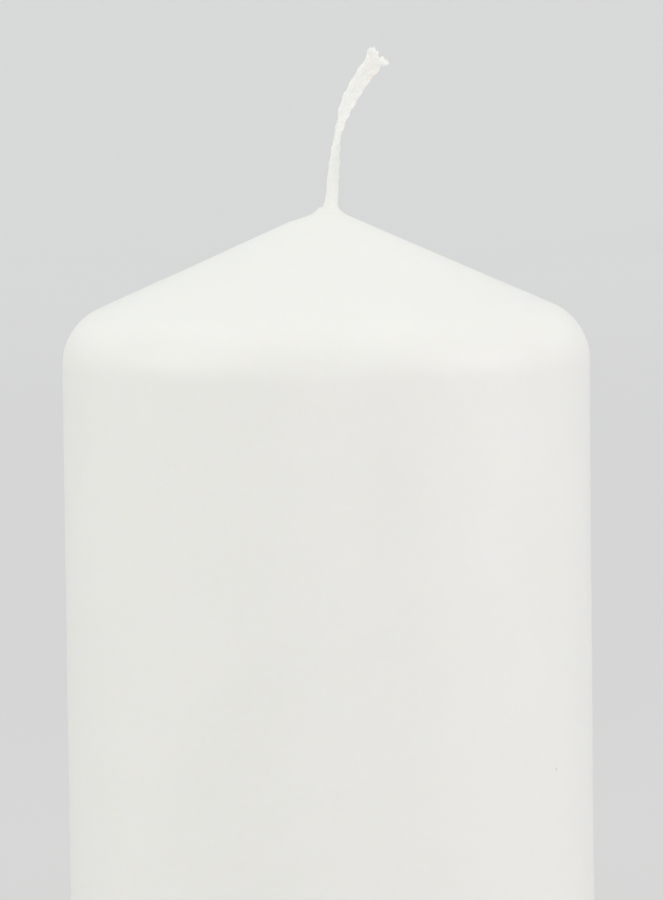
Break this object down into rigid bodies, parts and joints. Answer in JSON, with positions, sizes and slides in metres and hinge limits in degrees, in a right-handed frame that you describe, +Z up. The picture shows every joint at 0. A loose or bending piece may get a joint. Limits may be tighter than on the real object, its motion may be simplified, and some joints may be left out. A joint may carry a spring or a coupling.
{
  "type": "unity candle",
  "caption": "Tall white wax pillar candle with a flat foot, rounded shoulder, low conical top and a flat braided wick that bends to one side.",
  "frame": {"origin": "centre of the foot, on the surface that the candle stands on", "axes": "+Z up along the candle's axis, +X towards the side that the free end of the wick leans to, -Y towards the viewer"},
  "size_m": [0.0762, 0.0762, 0.2508],
  "materials": {
    "skin_wax": "hard white over-dip wax, satin, translucent",
    "core_wax": "pressed white paraffin, faintly granular, matt",
    "seal_wax": "poured white paraffin, smooth, semi-translucent",
    "wick_cotton": "white cotton braid primed with wax",
    "tinplate": "bright tinplate, pressed",
    "label_paper": "uncoated white label paper, blank"
  },
  "bodies": {
    "root": {"overdip_skin": "skin_wax", "wax_core": "core_wax", "base_seal": "seal_wax", "wick": "wick_cotton", "wick_sustainer": "tinplate", "base_label": "label_paper"}
  },
  "joints": []
}
